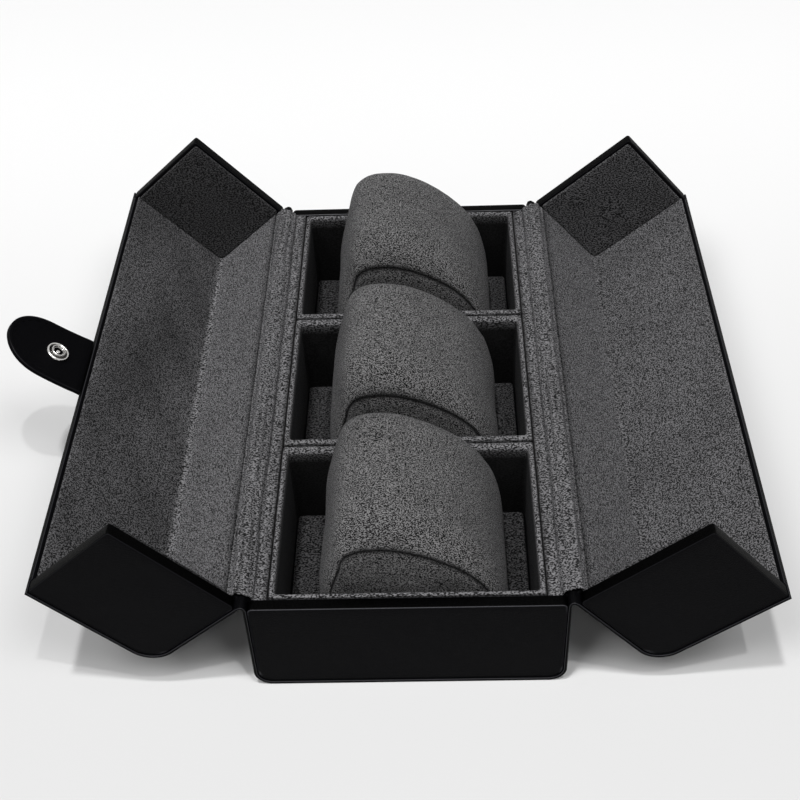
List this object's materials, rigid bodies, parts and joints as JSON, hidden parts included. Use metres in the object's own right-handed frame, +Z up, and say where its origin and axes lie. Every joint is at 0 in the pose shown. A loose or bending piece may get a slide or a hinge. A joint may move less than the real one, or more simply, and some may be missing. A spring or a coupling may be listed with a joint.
{
  "type": "watch travel case",
  "caption": "Open travel case for three watches: tray with three cushioned compartments, two hinged half lids and a strap with a snap.",
  "frame": {"origin": "centre of the tray's underside, on the surface that the case stands on", "axes": "+X across the case from the lid with the strap to the other lid, +Y along the row of compartments from front to rear, +Z up"},
  "size_m": [0.2589, 0.212, 0.0756],
  "materials": {
    "black_leather": "smooth satin coated leather",
    "velvet_lining": "short pile velvet",
    "cushion_suede": "brushed microfibre suede",
    "board": "plain grey board",
    "snap_metal": "bright nickel plate"
  },
  "bodies": {
    "tray": {"tray_leather_wrap": "black_leather", "tray_bottom_board": "board", "tray_left_board": "board", "tray_right_board": "board", "tray_front_panel": "black_leather", "tray_rear_panel": "black_leather", "tray_left_wall": "board", "tray_right_wall": "board", "tray_left_lining": "velvet_lining", "tray_right_lining": "velvet_lining", "tray_front_lining": "velvet_lining", "tray_rear_lining": "velvet_lining", "front_divider": "velvet_lining", "rear_divider": "velvet_lining", "front_floor_pad": "velvet_lining", "middle_floor_pad": "velvet_lining", "rear_floor_pad": "velvet_lining", "left_hinge_leather": "black_leather", "left_hinge_lining": "velvet_lining", "right_hinge_leather": "black_leather", "right_hinge_lining": "velvet_lining"},
    "left_lid": {"left_lid_leather": "black_leather", "left_lid_board": "board", "left_lid_front_panel": "black_leather", "left_lid_rear_panel": "black_leather", "left_lid_side_lining": "velvet_lining", "left_lid_top_lining": "velvet_lining", "left_lid_front_lining": "velvet_lining", "left_lid_rear_lining": "velvet_lining", "strap_anchor": "black_leather"},
    "right_lid": {"right_lid_leather": "black_leather", "right_lid_board": "board", "right_lid_front_panel": "black_leather", "right_lid_rear_panel": "black_leather", "right_lid_side_lining": "velvet_lining", "right_lid_top_lining": "velvet_lining", "right_lid_front_lining": "velvet_lining", "right_lid_rear_lining": "velvet_lining", "snap_stud": "snap_metal"},
    "strap": {"strap_outer_layer": "black_leather", "strap_inner_layer": "black_leather", "snap_cap": "snap_metal", "snap_socket": "snap_metal", "snap_spring": "snap_metal"},
    "front_cushion": {"front_cushion_cover": "cushion_suede", "front_cushion_front_cap": "cushion_suede", "front_cushion_rear_cap": "cushion_suede"},
    "middle_cushion": {"middle_cushion_cover": "cushion_suede", "middle_cushion_front_cap": "cushion_suede", "middle_cushion_rear_cap": "cushion_suede"},
    "rear_cushion": {"rear_cushion_cover": "cushion_suede", "rear_cushion_front_cap": "cushion_suede", "rear_cushion_rear_cap": "cushion_suede"}
  },
  "joints": [
    {"name": "left_lid_hinge", "type": "hinge", "parent": "tray", "child": "left_lid", "pos_m": [-0.051, 0, 0.0386], "axis": [0, -1, 0], "range_deg": [-132, 0], "deforming": ["left_hinge_leather", "left_hinge_lining"]},
    {"name": "right_lid_hinge", "type": "hinge", "parent": "tray", "child": "right_lid", "pos_m": [0.051, 0, 0.0386], "axis": [0, 1, 0], "range_deg": [-139, 0], "deforming": ["right_hinge_leather", "right_hinge_lining"]},
    {"name": "strap_fold", "type": "hinge", "parent": "left_lid", "child": "strap", "pos_m": [-0.11649, 0, 0.04759], "axis": [0, -1, 0], "range_deg": [-12, 60]},
    {"name": "front_cushion_lift", "type": "slide", "parent": "tray", "child": "front_cushion", "axis": [0, 0, 1], "range_m": [0, 0.08]},
    {"name": "middle_cushion_lift", "type": "slide", "parent": "tray", "child": "middle_cushion", "axis": [0, 0, 1], "range_m": [0, 0.08]},
    {"name": "rear_cushion_lift", "type": "slide", "parent": "tray", "child": "rear_cushion", "axis": [0, 0, 1], "range_m": [0, 0.08]}
  ]
}
